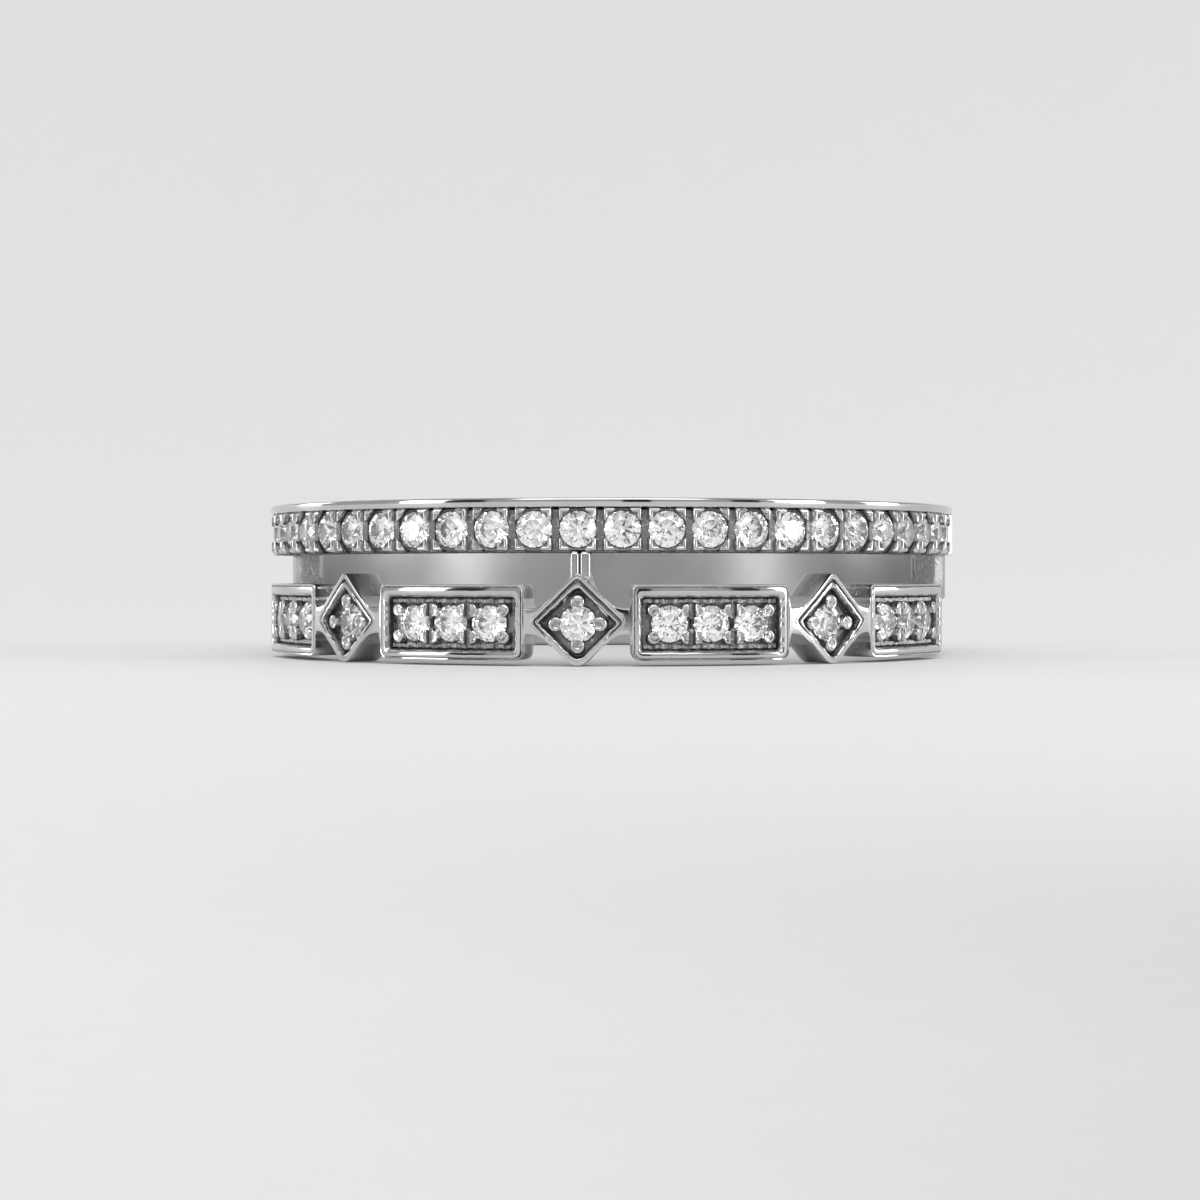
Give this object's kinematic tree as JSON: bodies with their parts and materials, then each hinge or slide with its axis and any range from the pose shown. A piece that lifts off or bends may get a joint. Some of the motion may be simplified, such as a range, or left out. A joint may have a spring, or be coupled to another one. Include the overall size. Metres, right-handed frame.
{
  "type": "stackable ring",
  "caption": "Stackable ring: a rail of small round stones above a chain of diamond and bar frames with set stones, joined into a plain domed shank.",
  "frame": {"origin": "on the finger axis, at the level of the surface that the ring lies on", "axes": "+Z along the finger axis, up as the ring lies; the front of the ring faces -Y; +X is to the right seen from the front"},
  "size_m": [0.0204, 0.0204, 0.0044],
  "materials": {
    "metal": "high polish silver, dark in the recesses",
    "stone": "clear, faceted"
  },
  "bodies": {
    "root": {"ring_casting": "metal", "rail_stone_01": "stone", "rail_stone_02": "stone", "rail_stone_03": "stone", "rail_stone_04": "stone", "rail_stone_05": "stone", "rail_stone_06": "stone", "rail_stone_07": "stone", "rail_stone_08": "stone", "rail_stone_09": "stone", "rail_stone_10": "stone", "rail_stone_11": "stone", "rail_stone_12": "stone", "rail_stone_13": "stone", "rail_stone_14": "stone", "rail_stone_15": "stone", "rail_stone_16": "stone", "rail_stone_17": "stone", "rail_stone_18": "stone", "rail_stone_19": "stone", "rail_stone_20": "stone", "rail_stone_21": "stone", "rail_stone_22": "stone", "rail_stone_23": "stone", "rail_stone_24": "stone", "rail_stone_25": "stone", "left_inner_bar_stone_1": "stone", "left_inner_bar_stone_2": "stone", "left_inner_bar_stone_3": "stone", "left_outer_bar_stone_1": "stone", "left_outer_bar_stone_2": "stone", "left_outer_bar_stone_3": "stone", "right_inner_bar_stone_1": "stone", "right_inner_bar_stone_2": "stone", "right_inner_bar_stone_3": "stone", "right_outer_bar_stone_1": "stone", "right_outer_bar_stone_2": "stone", "right_outer_bar_stone_3": "stone", "middle_diamond_stone": "stone", "left_diamond_stone": "stone", "right_diamond_stone": "stone"}
  },
  "joints": []
}
